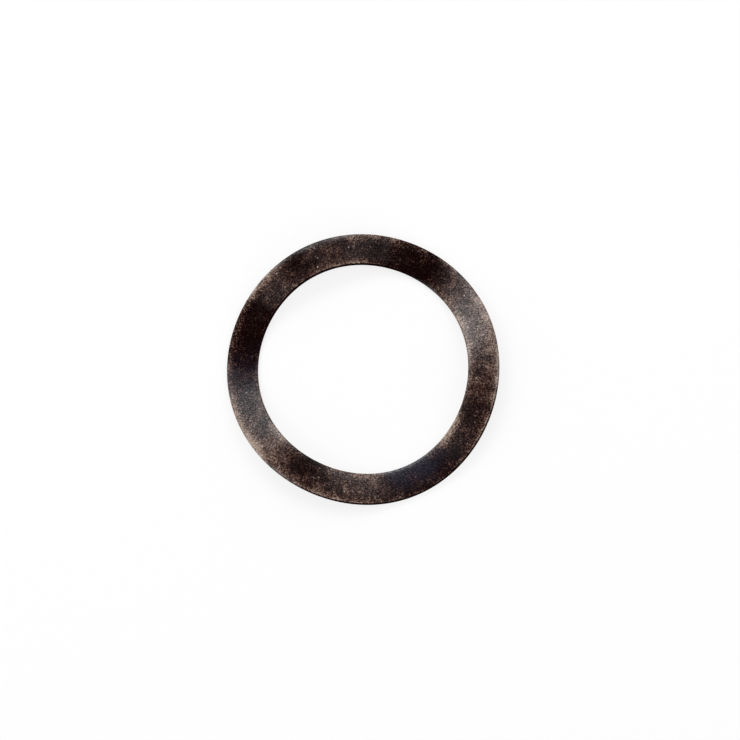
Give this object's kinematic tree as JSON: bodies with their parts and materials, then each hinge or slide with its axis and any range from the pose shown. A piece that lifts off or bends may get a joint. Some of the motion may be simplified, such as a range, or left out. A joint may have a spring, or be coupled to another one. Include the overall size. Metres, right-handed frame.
{
  "type": "wave washer",
  "caption": "Closed ring of thin blackened spring steel pressed into even waves, which pushes two parts on a shaft apart.",
  "frame": {"origin": "on the axis of the bore, in the plane that the troughs stand on", "axes": "+Z along the axis of the bore, away from the surface it lies on; +X through the middle of a crest"},
  "size_m": [0.0254, 0.0254, 0.002],
  "materials": {
    "blackened_steel": "dark brown-black oxide on tumbled spring steel, dull sheen, paler on the worn edges"
  },
  "bodies": {
    "root": {"wave_washer": "blackened_steel"}
  },
  "joints": []
}
